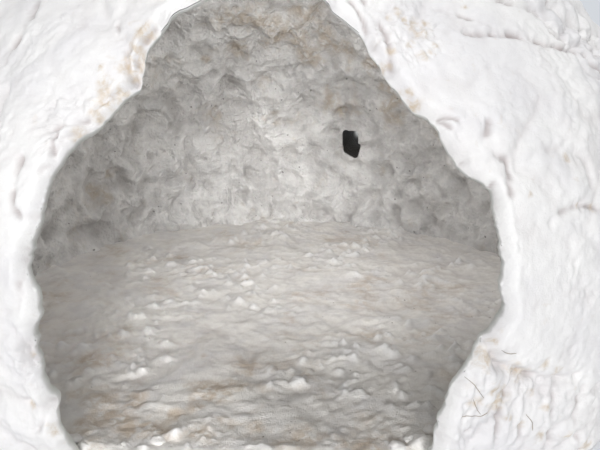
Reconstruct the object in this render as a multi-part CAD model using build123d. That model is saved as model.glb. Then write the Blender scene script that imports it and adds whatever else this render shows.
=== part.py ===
from build123d import *
import os
from math import asin, atan2, cos, degrees, radians, sin, sqrt, tau

# A dome of big packed-snow lumps with a wide pointed mouth, hollowed out inside.
# The dome stands on the plane Z = 0 with its axis on Z, and its mouth faces -Y.
# Azimuths are in degrees from the mouth, turning to the right as seen from in front.

# Dome, in millimetres
foot_width = 2830
dome_height = 1650
wall_at_foot = 300
wall_at_crown = 220
floor_thickness = 50

# Courses, measured up the outside of the dome from the ground. The third ends where the
# keystone's legs stand on it, and the fourth is a part of the rest up to the crown cap.
base_height = 385
second_height = 350
keystone_leg = 170
keystone_width = 1040
fourth_part = 0.57
crown_cap_width = 870

# Bed joints lean inwards: each is a cone about the axis, through this point of it
joint_centre_height = 250

# Outside of each lump: part of a ball, flatter than the lump is wide
lump_crown_radius = 950
lump_proud = 25
lump_unevenness = 7

# Mouth: plumb sides, a pointed arch over them, and a reveal that opens inwards
mouth_width = 1050
mouth_height = 1220
mouth_spring = 250
mouth_splay = 0.45
lip_swell = 20
foot_reach = 110
foot_swell = 35
arch_round_width = 120
arch_round_rise = 22
short_jamb_part = 0.6

# Vent through the back wall
vent_width = 80
vent_height = 150
vent_corner = 30
vent_level = 540
vent_azimuth = 161
vent_climb = 12

# Worked out from the sizes above
foot_radius = foot_width / 2
dome_centre = (dome_height**2 - foot_radius**2) / (2 * dome_height)
dome_radius = dome_height - dome_centre
cavity_foot_radius = foot_radius - wall_at_foot
cavity_height = dome_height - wall_at_crown
cavity_centre = (cavity_height**2 - cavity_foot_radius**2) / (2 * cavity_height)
cavity_radius = cavity_height - cavity_centre
mouth_half = mouth_width / 2
arch_rise = mouth_height - mouth_spring
arch_radius = (mouth_half**2 + arch_rise**2) / (2 * mouth_half)
mouth_plane = sqrt(foot_radius**2 - mouth_half**2)
full_turn = 360

# Extra length of a cutting shape past what it cuts
overrun = 100
lump_reach = dome_radius + lump_proud + lump_unevenness + overrun


# How far a sphere about the axis reaches at a height
def reach_at(z, centre, radius):
    return sqrt(radius**2 - (z - centre) ** 2)


# Climb of the bed joint that meets the outside of the dome at a height
def climb_to(z):
    return degrees(atan2(z - joint_centre_height, reach_at(z, dome_centre, dome_radius)))


# Distance along a bed joint, from its point on the axis out to a sphere about the axis
def joint_run(climb, centre, radius):
    offset = (joint_centre_height - centre) * sin(radians(climb))
    squared = (joint_centre_height - centre) ** 2 - radius**2
    return -offset + sqrt(offset**2 - squared)


# Point of a bed joint in the XZ plane
def joint_point(climb, run):
    x = run * cos(radians(climb))
    z = joint_centre_height + run * sin(radians(climb))
    return Vector(x, 0, z)


def cavity_joint_point(climb):
    return joint_point(climb, joint_run(climb, cavity_centre, cavity_radius))


def dome_joint_point(climb):
    return joint_point(climb, joint_run(climb, dome_centre, dome_radius))


# Climbs of the bed joints on top of the courses
crown_edge_height = dome_centre + sqrt(dome_radius**2 - (crown_cap_width / 2) ** 2)
base_top = climb_to(base_height)
second_top = climb_to(base_height + second_height)
third_top = climb_to(mouth_height - keystone_leg)
fifth_top = climb_to(crown_edge_height)
fourth_top = third_top + fourth_part * (fifth_top - third_top)


# Arc of the cavity's outline between two of its points
def cavity_arc(low, high):
    z = (low.Z + high.Z) / 2
    return ThreePointArc(low, (reach_at(z, cavity_centre, cavity_radius), 0, z), high)


# Section of a course, left too thick on the outside, where the lump's ball trims it
def section(inner_low, outer_low, inner_high, outer_high):
    outline = [
        cavity_arc(inner_low, inner_high),
        Line(inner_high, outer_high),
        Line(outer_high, outer_low),
        Line(outer_low, inner_low),
    ]
    return Face(Wire(outline))


def base_section():
    return section(
        Vector(cavity_foot_radius, 0, 0),
        Vector(lump_reach, 0, 0),
        cavity_joint_point(base_top),
        joint_point(base_top, lump_reach),
    )


def course_section(bottom, top):
    return section(
        cavity_joint_point(bottom),
        joint_point(bottom, lump_reach),
        cavity_joint_point(top),
        joint_point(top, lump_reach),
    )


# Ball that rounds the outside of a lump, with its middle at this climb and azimuth
def lump_ball(climb, azimuth, number):
    surface = dome_joint_point(climb)
    outward = (surface - Vector(0, 0, dome_centre)).normalized()
    proud = lump_proud + lump_unevenness * cos(tau * number / 3)
    centre = surface + outward * (proud - lump_crown_radius)
    return Rot(0, 0, azimuth - 90) * Pos(centre) * Sphere(lump_crown_radius)


# One lump between two head joints
def lump(profile, climb, start, end, middle, number):
    block = revolve(profile, axis=Axis.Z, revolution_arc=end - start)
    block = Rot(0, 0, start - 90) * block
    return block & lump_ball(climb, middle, number)


# Half the width of the mouth at a height, on the plane of its two feet
def mouth_half_at(z):
    if z <= mouth_spring:
        return mouth_half
    return mouth_half - arch_radius + sqrt(arch_radius**2 - (z - mouth_spring) ** 2)


# Azimuth of the mouth's lip where it crosses this height on the dome
def lip_azimuth(z):
    return degrees(asin(mouth_half_at(z) / reach_at(z, dome_centre, dome_radius)))


# Points up one side of the mouth: a swelling for each lump, with a notch at each joint
def lip_points(foot, first_swell):
    arch_run = arch_radius - mouth_half + arch_round_width / 2
    shoulder = mouth_spring + sqrt(arch_radius**2 - arch_run**2)
    levels = [base_height, base_height + second_height, mouth_height - keystone_leg]
    notches = [(foot, 0)]
    notches += [(mouth_half_at(z), z) for z in levels]
    notches.append((arch_round_width / 2, shoulder))
    points = [notches[0]]
    swells = [first_swell] + [lip_swell] * (len(notches) - 2)
    for low, high, swell in zip(notches, notches[1:], swells):
        run = high[0] - low[0]
        rise = high[1] - low[1]
        length = sqrt(run**2 + rise**2)
        middle_x = (low[0] + high[0]) / 2 - swell * rise / length
        middle_z = (low[1] + high[1]) / 2 + swell * run / length
        points += [(middle_x, middle_z), high]
    return points


# Outline of the mouth on a plane across it, wider the further in the plane is
def mouth_outline(y):
    widen = 1 + mouth_splay / mouth_half * (y + mouth_plane)
    left = [Vector(-x * widen, y, z) for x, z in lip_points(mouth_half, lip_swell)]
    right = [Vector(x * widen, y, z) for x, z in lip_points(mouth_half - foot_reach, foot_swell)]
    top = Vector(0, y, left[-1].Z + arch_round_rise)
    below = Vector(0, 0, -overrun)
    outline = [Line(left[0] + below, left[0])]
    outline += [ThreePointArc(*left[i : i + 3]) for i in range(0, len(left) - 2, 2)]
    outline.append(ThreePointArc(left[-1], top, right[-1]))
    down = right[::-1]
    outline += [ThreePointArc(*down[i : i + 3]) for i in range(0, len(down) - 2, 2)]
    outline.append(Line(right[0], right[0] + below))
    outline.append(Line(right[0] + below, left[0] + below))
    return Wire(outline)


# Space of the mouth, from in front of the dome to well inside the cavity
def mouth_space():
    front = mouth_outline(-foot_radius - overrun)
    back = mouth_outline(-cavity_foot_radius / 4)
    return Solid.make_loft([front, back], ruled=True)


# Space of the vent: a slot that climbs outwards through the wall
def vent_space():
    wall = Vector(reach_at(vent_level, cavity_centre, cavity_radius), 0, vent_level)
    outward = Vector(cos(radians(vent_climb)), 0, sin(radians(vent_climb)))
    slot = RectangleRounded(vent_width, vent_height, vent_corner)
    start = Plane(origin=wall - outward * overrun, x_dir=(0, 1, 0), z_dir=outward)
    length = wall_at_foot + 2 * overrun
    return Rot(0, 0, vent_azimuth - 90) * extrude(start * slot, amount=length)


# Course that the mouth interrupts: jamb lumps reach to the mouth, which trims them
def open_course(profile, bottom, top, names, jamb_part):
    climb = (bottom + top) / 2
    lip = lip_azimuth(dome_joint_point(climb).Z)
    width = (full_turn - 2 * lip) / (len(names) - 2 + 2 * jamb_part)
    lumps = {}
    start = lip
    for number, name in enumerate(names):
        is_jamb = name.endswith("jamb")
        end = start + width * (jamb_part if is_jamb else 1)
        low = 0 if number == 0 else start
        high = full_turn if number == len(names) - 1 else end
        lumps[name] = lump(profile, climb, low, high, (start + end) / 2, number)
        start = end
    return lumps


# Course that closes over the mouth, its first lump in the middle of the front
def closed_course(bottom, top, names, first_span):
    profile = course_section(bottom, top)
    climb = (bottom + top) / 2
    width = (full_turn - first_span) / (len(names) - 1)
    lumps = {}
    start = -first_span / 2
    for number, name in enumerate(names):
        end = start + (first_span if number == 0 else width)
        lumps[name] = lump(profile, climb, start, end, (start + end) / 2, number)
        start = end
    return lumps


def base_course():
    names = [
        "base_right_jamb",
        "base_right_front",
        "base_right_side",
        "base_right_rear",
        "base_back",
        "base_left_rear",
        "base_left_side",
        "base_left_front",
        "base_left_jamb",
    ]
    return open_course(base_section(), 0, base_top, names, 1)


def second_course():
    names = [
        "second_right_jamb",
        "second_right_front",
        "second_right_side",
        "second_right_rear",
        "second_back_right",
        "second_back_left",
        "second_left_rear",
        "second_left_side",
        "second_left_front",
        "second_left_jamb",
    ]
    profile = course_section(base_top, second_top)
    return open_course(profile, base_top, second_top, names, short_jamb_part)


def third_course():
    names = [
        "third_right_jamb",
        "third_right_front",
        "third_right_side",
        "third_right_rear",
        "third_back",
        "third_left_rear",
        "third_left_side",
        "third_left_front",
        "third_left_jamb",
    ]
    profile = course_section(second_top, third_top)
    return open_course(profile, second_top, third_top, names, 1)


def fourth_course():
    names = [
        "arch_keystone",
        "fourth_right_front",
        "fourth_right_side",
        "fourth_right_rear",
        "fourth_back",
        "fourth_left_rear",
        "fourth_left_side",
        "fourth_left_front",
    ]
    keystone_reach = reach_at(mouth_height - keystone_leg, dome_centre, dome_radius)
    keystone_span = 2 * degrees(asin(keystone_width / 2 / keystone_reach))
    return closed_course(third_top, fourth_top, names, keystone_span)


def fifth_course():
    names = [
        "fifth_front",
        "fifth_right_front",
        "fifth_right_rear",
        "fifth_left_rear",
        "fifth_left_front",
    ]
    return closed_course(fourth_top, fifth_top, names, full_turn / len(names))


# Round lump that closes the top, its outside part of a ball like the others
def crown_cap():
    ball_centre = dome_height + lump_proud - lump_crown_radius
    inner_edge = cavity_joint_point(fifth_top)
    outer_edge = joint_point(fifth_top, joint_run(fifth_top, ball_centre, lump_crown_radius))
    inner_top = Vector(0, 0, cavity_height)
    outer_top = Vector(0, 0, dome_height + lump_proud)
    z = (outer_edge.Z + outer_top.Z) / 2
    outer_middle = Vector(reach_at(z, ball_centre, lump_crown_radius), 0, z)
    outline = [
        cavity_arc(inner_edge, inner_top),
        Line(inner_top, outer_top),
        ThreePointArc(outer_top, outer_middle, outer_edge),
        Line(outer_edge, inner_edge),
    ]
    return revolve(Face(Wire(outline)), axis=Axis.Z)


# Trampled snow inside, and out through the mouth to the line of the wall
def snow_floor(mouth):
    layer = Pos(0, 0, floor_thickness / 2) * Box(foot_width, foot_width, floor_thickness)
    inside = layer & Pos(0, 0, cavity_centre) * Sphere(cavity_radius)
    threshold = layer & Pos(0, 0, dome_centre) * Sphere(dome_radius) & mouth
    return inside + threshold


def igloo():
    mouth = mouth_space()
    vent = vent_space()
    wall = {}
    for course in (base_course, second_course, third_course, fourth_course, fifth_course):
        wall.update(course())
    wall["crown_cap"] = crown_cap()
    pieces = {name: piece - mouth - vent for name, piece in wall.items()}
    pieces["snow_floor"] = snow_floor(mouth)
    return pieces


os.makedirs("parts", exist_ok=True)
for node, shape in igloo().items():
    export_step(shape, f"parts/{node}.step")
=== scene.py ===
from math import cos, radians, sin

import bpy
import numpy as np
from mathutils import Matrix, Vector


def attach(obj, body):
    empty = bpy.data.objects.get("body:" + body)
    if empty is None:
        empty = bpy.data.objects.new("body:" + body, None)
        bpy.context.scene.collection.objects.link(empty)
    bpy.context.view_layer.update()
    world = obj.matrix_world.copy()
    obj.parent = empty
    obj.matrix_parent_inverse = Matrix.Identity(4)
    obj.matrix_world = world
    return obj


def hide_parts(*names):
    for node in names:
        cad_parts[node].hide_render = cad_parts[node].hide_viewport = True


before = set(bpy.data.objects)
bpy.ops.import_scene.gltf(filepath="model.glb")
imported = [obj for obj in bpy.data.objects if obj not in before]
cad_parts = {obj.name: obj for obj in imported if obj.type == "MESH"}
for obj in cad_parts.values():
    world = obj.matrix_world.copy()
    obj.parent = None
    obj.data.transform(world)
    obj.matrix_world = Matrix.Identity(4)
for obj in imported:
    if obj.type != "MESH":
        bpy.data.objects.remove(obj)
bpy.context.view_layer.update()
print("frame loaded,", len(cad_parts), "nodes")

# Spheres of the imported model, in metres; all angles in this file are in degrees
dome = {
    "outerCentre": 0.2183,
    "outerRadius": 1.4317,
    "roomCentre": 0.2803,
    "roomRadius": 1.1497,
    "jointCentre": 0.25,  # every bed joint is a cone through this point of the axis
    "lumpBall": 0.95,
    "lumpProud": 0.025,
    "lumpUneven": 0.007,
}
outerRadius, roomRadius = dome["outerRadius"], dome["roomRadius"]
jointCentre = np.array([0, 0, dome["jointCentre"]])

# Lumps of a course from the right of the mouth round to the left
ring = ["right_jamb", "right_front", "right_side", "right_rear", "back",
        "left_rear", "left_side", "left_front", "left_jamb"]

# Courses from the ground up: climbs of the bed joints, first head joint, lump widths
courses = {
    "base": {"low": -10.1, "high": 5.42, "middle": 2.71, "first": 21.48, "width": 35.226, "jambPart": 1,
             "lowInside": -12.65, "lumps": ring},
    "second": {"low": 5.42, "high": 19.96, "middle": 12.69, "first": 20.29, "width": 34.719,
               "jambPart": 0.6, "lumps": ring[:4] + ["back_right", "back_left"] + ring[5:]},
    "third": {"low": 19.96, "high": 34.47, "middle": 27.22, "first": 15.03, "width": 36.659,
              "jambPart": 1, "lumps": ring},
    "fourth": {"low": 34.47, "high": 55.81, "middle": 45.14, "first": -26.5, "width": 43.857,
               "firstWidth": 53, "lumps": ["keystone"] + ring[1:8]},
    "fifth": {"low": 55.81, "high": 71.92, "middle": 63.87, "first": -36, "width": 72,
              "lumps": ["front", "right_front", "right_rear", "left_rear", "left_front"]},
}

# Where the picture is taken from
camera = {
    "place": (0.067, -2.55, 0.95),
    "tiltDown": 14.15,
    "focalPixels": 607,
    "framePixels": (600, 450),
    "sensor": 36,
}

# Edge of the mouth as the camera sees it, in pixels, from the point down to each foot
mouth = {
    "point": (262, -42),
    "left": [(197, 0), (168, 12), (166, 19), (147, 36), (138, 54), (134, 71), (125, 81), (115, 91),
             (103, 109), (88, 120), (76, 128), (63, 145), (55, 159), (47, 174), (44, 189), (38, 214),
             (38, 223), (32, 236), (29, 248), (25, 264), (29, 276), (35, 292), (36, 306), (38, 319),
             (30, 325), (29, 340), (29, 355), (33, 368), (35, 387), (39, 397), (41, 407), (45, 422),
             (49, 438), (52, 449)],
    "right": [(330, 0), (332, 8), (348, 18), (361, 26), (370, 35), (376, 48), (381, 51), (392, 63),
              (395, 73), (406, 82), (411, 91), (424, 103), (433, 110), (442, 122), (453, 140), (463, 153),
              (472, 172), (489, 180), (499, 191), (501, 225), (505, 249), (506, 271), (504, 292), (511, 310),
              (501, 328), (481, 361), (464, 387), (458, 401), (456, 422), (451, 433)],
    "roll": 0.026,
    "ragged": (0.035, 0.0045),
    "roomRoll": 0.13,
    "splay": 1.75,  # the mouth widens inwards by this
    "roomCorner": 26.0,  # azimuth inside, where the keystone begins
    "roomFlare": 1.2,  # it grows by this with every degree below the corner
    "roomPoint": 53.6,  # climb of the mouth's point inside
    "pointSplay": 1.3,
    "pointRise": 0.55,  # below 1 the point is rounder inside
    "tableStep": 0.15,
}

# Creases that the camera shows in the front lumps: depth and half width in millimetres, shade, pixel line
creases = [
    (8, 9, 0.5, [(46, 160), (52, 146), (62, 131), (72, 124), (83, 116)]),
    (8, 8, 0.5, [(83, 114), (90, 102), (101, 92), (113, 84), (125, 77)]),
    (7, 12, 0.4, [(118, 28), (125, 44), (131, 58)]),
    (9, 9, 0.8, [(112, 18), (119, 37), (122, 57), (122, 74)]),
    (11, 7, 0.8, [(150, 22), (134, 40), (128, 62), (124, 74), (100, 91), (89, 99), (80, 114), (69, 118),
         (57, 122)]),
    (8, 8, 0.8, [(36, 133), (50, 125), (62, 119), (72, 122)]),
    (9, 8, 0.8, [(52, 128), (47, 140), (49, 158), (38, 170)]),
    (12, 20, 0.25, [(22, 43), (9, 62), (4, 86), (-6, 110)]),
    (10, 16, 0.8, [(0, 60), (10, 40), (22, 20), (30, 0)]),
    (9, 10, 0.8, [(20, 158), (14, 190), (18, 215), (40, 218)]),
    (10, 9, 0.8, [(24, 250), (20, 280), (23, 304), (12, 312), (0, 309)]),
    (12, 8, 0.8, [(40, 398), (34, 404), (37, 420), (30, 436)]),
    (8, 16, 0.25, [(16, 330), (22, 360), (18, 395), (24, 430)]),
    (8, 7, 0.8, [(345, -6), (362, 10), (374, 30), (388, 48), (394, 62)]),
    (7, 10, 0.8, [(356, -10), (376, 10), (392, 34), (396, 60), (425, 96)]),
    (8, 6, 0.8, [(440, 113), (456, 115), (466, 119)]),
    (8, 7, 0.8, [(446, 116), (464, 130), (471, 144), (472, 158)]),
    (14, 12, 1.0, [(470, 30), (502, 31), (531, 37), (552, 46), (581, 53), (600, 70)]),
    (7, 10, 0.8, [(440, 4), (470, 14), (502, 31)]),
    (15, 10, 1.0, [(502, -2), (523, 4), (538, 9), (545, 20), (555, 37), (571, 43), (588, 56), (602, 76)]),
    (14, 9, 1.0, [(548, -6), (560, 12), (572, 24), (590, 38), (606, 50)]),
    (9, 6, 1.0, [(556, 8), (562, 24), (580, 36), (604, 60)]),
    (9, 12, 0.8, [(490, 122), (489, 136), (499, 155), (513, 160), (513, 194)]),
    (8, 7, 0.8, [(499, 182), (503, 202), (503, 226), (508, 260)]),
    (8, 14, 0.25, [(546, 150), (566, 148), (584, 160), (592, 184), (580, 206)]),
    (9, 10, 0.8, [(560, 212), (580, 204), (600, 210)]),
    (22, 11, 0.8, [(490, 338), (499, 356), (506, 368), (517, 373), (535, 379), (556, 382), (580, 376)]),
    (12, 35, 0.25, [(492, 352), (510, 380), (545, 392), (600, 388)]),
    (12, 9, 0.8, [(521, 382), (515, 399), (508, 416), (506, 450)]),
    (9, 8, 0.8, [(533, 403), (531, 434), (528, 452)]),
    (10, 8, 0.8, [(489, 402), (484, 424), (479, 442)]),
    (8, 10, 0.8, [(560, 396), (556, 420), (560, 452)]),
    (7, 9, 0.8, [(582, 400), (578, 424), (584, 452)]),
]

# Broken and icy places, by pixel, or by climb and azimuth on the dome: reach, crack spacing and depth in
# metres, shade, and upright, where a small one draws the cracks out into upright folds
roughPlaces = [
    ("pixel", (580, 26), 0.27, 0.1, 0.022, 0.55, 0.8),
    ("pixel", (498, 420), 0.19, 0.065, 0.01, 0.3, 0.35),
    ("pixel", (572, 420), 0.17, 0.075, 0.006, 0.15, 0.5),
    ("pixel", (36, 368), 0.1, 0.035, 0.009, 0.5, 1),
    ("pixel", (408, 26), 0.14, 0.04, 0.006, 0.35, 1),
    ("pixel", (60, 118), 0.12, 0.05, 0.007, 0.4, 1),
    ("dome", (36, 74), 0.4, 0.12, 0.02, 0.45, 1),
    ("dome", (64, 52), 0.3, 0.1, 0.016, 0.4, 1),
    ("dome", (14, 60), 0.26, 0.1, 0.012, 0.3, 0.6),
    ("dome", (52, -62), 0.36, 0.13, 0.018, 0.35, 1),
    ("dome", (16, -98), 0.34, 0.11, 0.016, 0.35, 0.6),
    ("dome", (60, 150), 0.4, 0.14, 0.018, 0.35, 1),
    ("dome", (26, -150), 0.36, 0.11, 0.018, 0.35, 1),
    ("dome", (12, 122), 0.3, 0.1, 0.014, 0.3, 0.6),
    ("dome", (82, -20), 0.28, 0.11, 0.012, 0.3, 1),
]

# Brown and yellow stains in the front lumps, inside and on the floor, where two marks inside paint the shade
# of a dark crack: pixel place and size in millimetres
stains = [
    (98, 96, 18), (112, 86, 14), (122, 60, 20), (130, 46, 18), (141, 26, 20), (88, 108, 14), (70, 128, 12),
    (95, 62, 6), (99, 76, 16), (98, 84, 12), (128, 44, 14), (125, 62, 14), (389, 11, 7), (401, 10, 8),
    (407, 14, 7), (414, 19, 12), (429, 19, 8), (424, 26, 16), (415, 38, 7), (439, 42, 7), (434, 47, 6),
    (426, 52, 9), (396, 44, 8), (392, 54, 8), (467, 4, 6), (416, 86, 10), (424, 95, 12), (564, 157, 8),
    (530, 194, 6), (591, 207, 7), (577, 205, 6), (519, 373, 12), (530, 378, 14), (548, 367, 10),
    (508, 405, 20), (504, 411, 14), (499, 394, 10), (483, 407, 12), (492, 362, 16), (549, 443, 12),
    (572, 439, 9), (552, 411, 8), (498, 384, 5), (538, 396, 7), (531, 434, 8), (502, 345, 5),
    (516, 424, 10), (588, 446, 14), (560, 372, 8), (34, 345, 14), (38, 362, 18), (42, 380, 14),
    (44, 440, 12), (22, 410, 8),
]
# Of these, (98, 194) and (106, 196) are a dark crack in the left wall, painted as a stain: painted shade
roomStains = [
    (223, 15, 50), (244, 14, 60), (260, 17, 50), (272, 21, 45), (286, 28, 50), (296, 38, 50),
    (307, 51, 50), (313, 58, 40), (278, 37, 40), (266, 43, 30), (238, 48, 45), (241, 53, 30),
    (327, 40, 45), (335, 50, 40), (348, 52, 45), (394, 98, 50), (393, 116, 50), (388, 106, 40),
    (301, 9, 45), (311, 15, 50), (318, 30, 30), (372, 60, 30), (205, 57, 20), (98, 194, 40),
    (106, 196, 30), (112, 174, 20), (330, 100, 40), (340, 110, 30),
]
floorStains = [
    (98, 398, 60), (108, 408, 50), (118, 416, 60), (128, 424, 50), (152, 424, 50), (160, 430, 40),
    (200, 433, 50), (205, 390, 50), (220, 388, 60), (232, 386, 50), (134, 400, 40), (196, 405, 30),
    (88, 424, 60), (445, 442, 50), (90, 360, 70), (245, 362, 50), (300, 440, 50), (365, 442, 50),
    (260, 425, 30), (176, 412, 30),
]


# Noise

# In which cell of a grid each point is, and where in it
def cellsOf(points, size):
    spot = points / size
    cell = np.floor(spot)
    return (spot - cell).astype(np.float32), cell.astype(np.int64).astype(np.uint32)


def hashCorners(corner, step, seed):
    x, y, z = (corner[:, k] + np.uint32(step[k] % 2**32) for k in range(3))
    h = x * np.uint32(73856093) ^ y * np.uint32(19349663) ^ z * np.uint32(83492791)
    h = h ^ np.uint32(seed * 7919 + 101)
    h = (h ^ (h >> np.uint32(15))) * np.uint32(2246822519)
    h = (h ^ (h >> np.uint32(13))) * np.uint32(3266489917)
    return h ^ (h >> np.uint32(16))


# One of three numbers from 0 to 1023 that a hash holds
def tenBits(h, k):
    return ((h >> np.uint32(10 * k)) & np.uint32(1023)).astype(np.float32)


# Smooth noise from about -1 to 1, with bumps of the given size in metres
def noiseAt(points, size, seed):
    part, corner = cellsOf(points, size)
    fade = part**3 * (part * (part * 6 - 15) + 10)
    total = np.zeros(len(points), np.float32)
    for step in np.ndindex(2, 2, 2):
        h = hashCorners(corner, step, seed)
        weight = np.ones(len(points), np.float32)
        slope = np.zeros(len(points), np.float32)
        for k in range(3):
            slope += (tenBits(h, k) / 511.5 - 1) * (part[:, k] - step[k])
            weight *= fade[:, k] if step[k] else 1 - fade[:, k]
        total += weight * slope
    return total * 1.5


def layeredNoise(points, size, layers, seed):
    total = np.zeros(len(points), np.float32)
    for layer in range(layers):
        total += noiseAt(points, size / 2.1**layer, seed + layer) / 1.9**layer
    return total


# Distance to the nearest of scattered middles, in steps of the size: bowls side by side
def bowlsAt(points, size, seed):
    part, corner = cellsOf(points, size)
    nearest = np.full(len(points), 9.0, np.float32)
    for step in np.ndindex(3, 3, 3):
        h = hashCorners(corner, [s - 1 for s in step], seed)
        away = sum((part[:, k] - (tenBits(h, k) / 1023 + step[k] - 1)) ** 2 for k in range(3))
        nearest = np.minimum(nearest, away)
    return np.sqrt(nearest)


def smoothStep(low, high, value):
    t = np.clip((value - low) / (high - low), 0, 1)
    return t * t * (3 - 2 * t)


def noiseTriples(spots, size, seed):
    return np.stack([noiseAt(spots, size, seed + k) for k in range(3)], -1)


# Points pushed about by noise
def bentBy(spots, size, amount, seed):
    return spots + amount * noiseTriples(spots, size, seed)


# Places on the dome by climb and azimuth from the joint centre

def lengthOf(vectors):
    return np.linalg.norm(vectors, axis=-1)


def unit(vectors):
    return vectors / lengthOf(vectors)[..., None]


def waysOf(climb, azimuth):
    e, a = np.radians(climb), np.radians(azimuth)
    return np.stack([np.sin(a) * np.cos(e), -np.cos(a) * np.cos(e), np.sin(e)], -1)


def reachTo(ways, centre, radius):
    along = ways @ centre
    return along + np.sqrt(radius**2 - (centre**2).sum(0) + along**2)


def pixelRays(pixels):
    spots = np.array(pixels, float)
    width, height = camera["framePixels"]
    across = (spots[:, 0] - width / 2) / camera["focalPixels"]
    up = (height / 2 - spots[:, 1]) / camera["focalPixels"]
    tilt = radians(camera["tiltDown"])
    return unit(np.stack([across, cos(tilt) + up * sin(tilt), up * cos(tilt) - sin(tilt)], -1))


# Where every pixel's ray meets the dome, or the far wall of the room, as climb and azimuth
def pixelsOnDome(pixels, inset=0.0, farWall=False):
    rays, eye = pixelRays(pixels), np.array(camera["place"])
    start = eye - [0, 0, dome["roomCentre" if farWall else "outerCentre"]]
    along = rays @ start
    radius = roomRadius if farWall else outerRadius + dome["lumpProud"] / 2 - inset
    under = np.sqrt(np.maximum(along**2 - start @ start + radius**2, 0))
    met = eye + rays * (under - along if farWall else -along - under)[:, None] - jointCentre
    climb = np.degrees(np.arcsin(met[:, 2] / lengthOf(met)))
    return np.stack([climb, np.degrees(np.arctan2(met[:, 0], -met[:, 1]))], -1)


# Where pixels' rays meet the floor
def pixelsOnFloor(pixels, height):
    rays = pixelRays(pixels)
    reach = (height - camera["place"][2]) / rays[:, 2]
    return np.array(camera["place"]) + rays * reach[:, None]


# A line with its corners cut twice, so that it curves
def softened(line, times=2):
    for _ in range(times):
        near = line[:-1] * 0.75 + line[1:] * 0.25
        far = line[:-1] * 0.25 + line[1:] * 0.75
        line = np.concatenate([line[:1], np.stack([near, far], 1).reshape(-1, line.shape[1]), line[-1:]])
    return line


# The mouth's edge, one table for each side by climb, and one over the point by azimuth

archClimb = courses["third"]["high"]
groundClimb = courses["base"]["lowInside"]


def sideTable(side):
    lip = pixelsOnDome([mouth["point"]] + mouth[side], mouth["roll"] * 0.6)[::-1]
    foot = np.array([[groundClimb, lip[0, 1]], [lip[0, 0] - 0.6, lip[0, 1]]])
    table = softened(np.concatenate([foot, lip]), 1)
    rising = np.maximum.accumulate(table[:, 0]) + np.arange(len(table)) * 1e-4
    climbs = np.arange(rising[0], rising[-1], mouth["tableStep"])
    azimuths = np.interp(climbs, rising, table[:, 1])
    size, depth = mouth["ragged"]
    line = waysOf(climbs, azimuths) * outerRadius
    azimuths = azimuths + np.degrees(depth / outerRadius) * layeredNoise(line, size, 3, 5)
    return np.stack([climbs, azimuths], -1)


tables = {side: sideTable(side) for side in ("left", "right")}
archLeft, archRight = (np.interp(archClimb, *tables[side].T) for side in tables)
above = [table[table[:, 0] > archClimb] for table in tables.values()]
overPoint = np.concatenate([[[archClimb, archLeft]], above[0], above[1][::-1][1:], [[archClimb, archRight]]])
overPoint[:, 1] = np.maximum.accumulate(overPoint[:, 1]) + np.arange(len(overPoint)) * 1e-5


def lipAzimuth(side, climb):
    return np.interp(climb, *tables[side].T)


# Inside, the mouth is wider, up to the corner where the keystone's underside starts
def roomLipAzimuth(side, climb):
    outside = lipAzimuth(side, climb)
    limit = mouth["roomCorner"] + mouth["roomFlare"] * np.maximum(archClimb - climb, 0)
    return np.sign(outside) * np.minimum(abs(outside) * mouth["splay"], limit)


# Where a place of the edge over the point lies inside
def roomPoint(climb, azimuth):
    corner = mouth["roomCorner"]
    splays = [-corner / archLeft, mouth["pointSplay"], corner / archRight]
    across = np.abs(np.interp(azimuth, [archLeft, 0, archRight], splays))
    rise = np.clip((climb - archClimb) / (overPoint[:, 0].max() - archClimb), 0, 1) ** mouth["pointRise"]
    return archClimb + (mouth["roomPoint"] - archClimb) * rise, azimuth * across


# The whole edge from foot to foot, outside or inside, as directions
def mouthLine(inside, count):
    climbs = np.linspace(groundClimb, archClimb, count)
    edgeOf = roomLipAzimuth if inside else lipAzimuth
    left, right = (np.stack([climbs, edgeOf(side, climbs)], -1) for side in tables)
    top = np.stack(roomPoint(*overPoint[1:-1].T), -1) if inside else overPoint[1:-1]
    return waysOf(*np.concatenate([left, top, right[::-1]]).T)


def spotWays(spots, farWall=False):
    return waysOf(*pixelsOnDome([spot[:2] for spot in spots], farWall=farWall).T)


lipWays, roomLipWays = mouthLine(False, 260), mouthLine(True, 80)
creaseWays = [waysOf(*softened(pixelsOnDome(line)).T) for *_, line in creases]
stainWays, roomStainWays = spotWays(stains), spotWays(roomStains, True)
roughWays = [waysOf(*(place if kind == "dome" else pixelsOnDome([place])[0]))
             for kind, place, *_ in roughPlaces]
print("mouth traced, arch corners at", round(float(archLeft), 1), "and", round(float(archRight), 1))


# Distance in metres from each direction to a line of directions, along a sphere of this radius
def distanceTo(ways, line, radius):
    nearest = np.full(len(ways), 9.0)
    for a, b in zip(line[:-1], line[1:]):
        along = b - a
        t = np.clip((ways - a) @ along / (along @ along), 0, 1)
        nearest = np.minimum(nearest, lengthOf(ways - a - t[:, None] * along))
    return nearest * radius


# How far a rolled edge has dropped, at a distance from its line
def rollDrop(distance, roll):
    return roll * (1 - np.clip(distance / roll, 0, 1)) ** 2.2


# Neighbours lap by this angle, so that no light shows between them
jointLap = 0.05


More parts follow.
